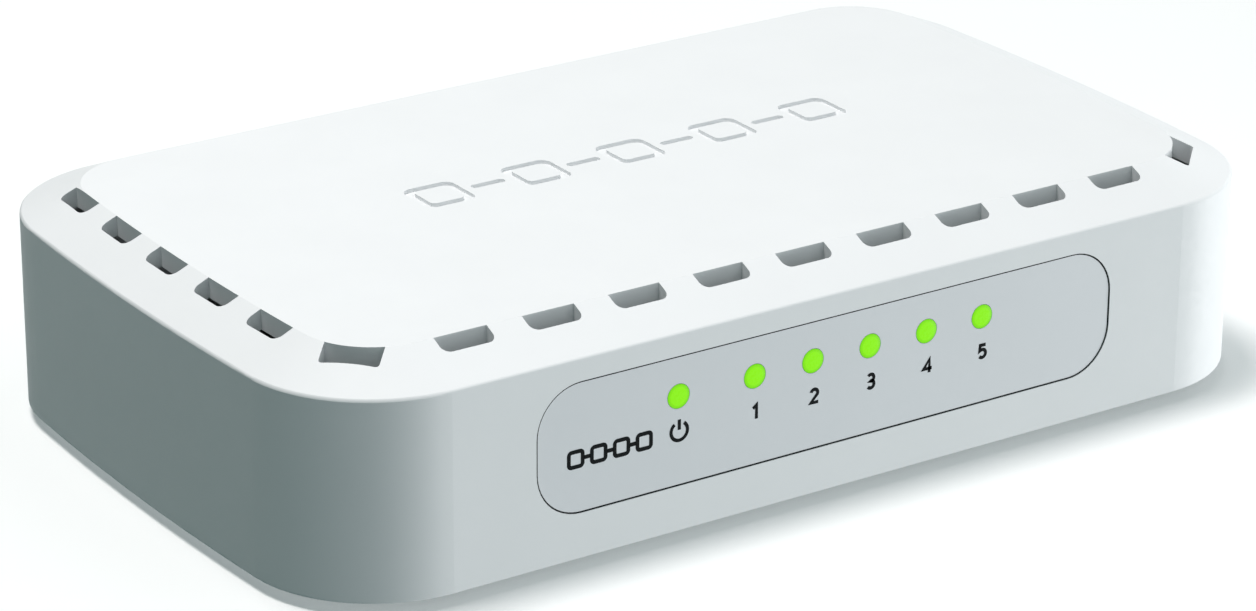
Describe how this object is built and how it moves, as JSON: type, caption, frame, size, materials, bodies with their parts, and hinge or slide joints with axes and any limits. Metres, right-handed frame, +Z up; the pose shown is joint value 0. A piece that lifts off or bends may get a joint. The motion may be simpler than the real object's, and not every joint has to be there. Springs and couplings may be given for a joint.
{
  "type": "desktop network switch",
  "caption": "Low white desktop box with bowed sides, sloped vented rim, green lamps on a grey front label and a row of network ports at the rear.",
  "frame": {"origin": "on the table, under the middle of the case", "axes": "+X along the front to the viewer's right, +Y to the rear with the ports, +Z up"},
  "size_m": [0.12, 0.0728, 0.0253],
  "materials": {
    "case_plastic": "fine satin",
    "base_plastic": "fine spark texture",
    "label_film": "satin film",
    "rating_paper": "matt",
    "lamp_guide": "clear moulding, lit green",
    "foot_rubber": "matt",
    "screw_steel": "zinc plated",
    "board_laminate": "solder mask",
    "port_plastic": "moulded",
    "shield_metal": "tin plated sheet",
    "contact_gold": "gold plated wire",
    "inlet_plastic": "moulded",
    "inlet_metal": "nickel plated",
    "chip_epoxy": "moulded epoxy",
    "pad_silicone": "soft",
    "sink_aluminium": "extruded",
    "crystal_metal": "drawn can",
    "ferrite": "pressed ferrite",
    "can_aluminium": "sleeveless can",
    "led_epoxy": "clear epoxy",
    "resistor_ceramic": "glazed",
    "capacitor_ceramic": "fired"
  },
  "bodies": {
    "root": {"board_screws": "screw_steel", "bottom_cover": "base_plastic", "case_screws": "screw_steel", "ceramic_capacitors": "capacitor_ceramic", "chip_resistors": "resistor_ceramic", "circuit_board": "board_laminate", "crystal": "crystal_metal", "electrolytic_capacitors": "can_aluminium", "flash_chip": "chip_epoxy", "foot_front_left": "foot_rubber", "foot_front_right": "foot_rubber", "foot_rear_left": "foot_rubber", "foot_rear_right": "foot_rubber", "front_label": "label_film", "heat_sink": "sink_aluminium", "inductor": "ferrite", "inlet_housing": "inlet_plastic", "inlet_pin": "inlet_metal", "inlet_spring": "inlet_metal", "input_fuse": "capacitor_ceramic", "light_guide": "lamp_guide", "magnetics_1": "chip_epoxy", "magnetics_2": "chip_epoxy", "magnetics_3": "chip_epoxy", "magnetics_4": "chip_epoxy", "magnetics_5": "chip_epoxy", "port_contacts_1": "contact_gold", "port_contacts_2": "contact_gold", "port_contacts_3": "contact_gold", "port_contacts_4": "contact_gold", "port_contacts_5": "contact_gold", "port_housing": "port_plastic", "port_led_1": "led_epoxy", "port_led_2": "led_epoxy", "port_led_3": "led_epoxy", "port_led_4": "led_epoxy", "port_led_5": "led_epoxy", "port_shield": "shield_metal", "power_led": "led_epoxy", "protection_diode": "chip_epoxy", "rating_label": "rating_paper", "regulator_chip": "chip_epoxy", "switch_chip": "chip_epoxy", "thermal_pad": "pad_silicone", "top_cover": "case_plastic"}
  },
  "joints": []
}
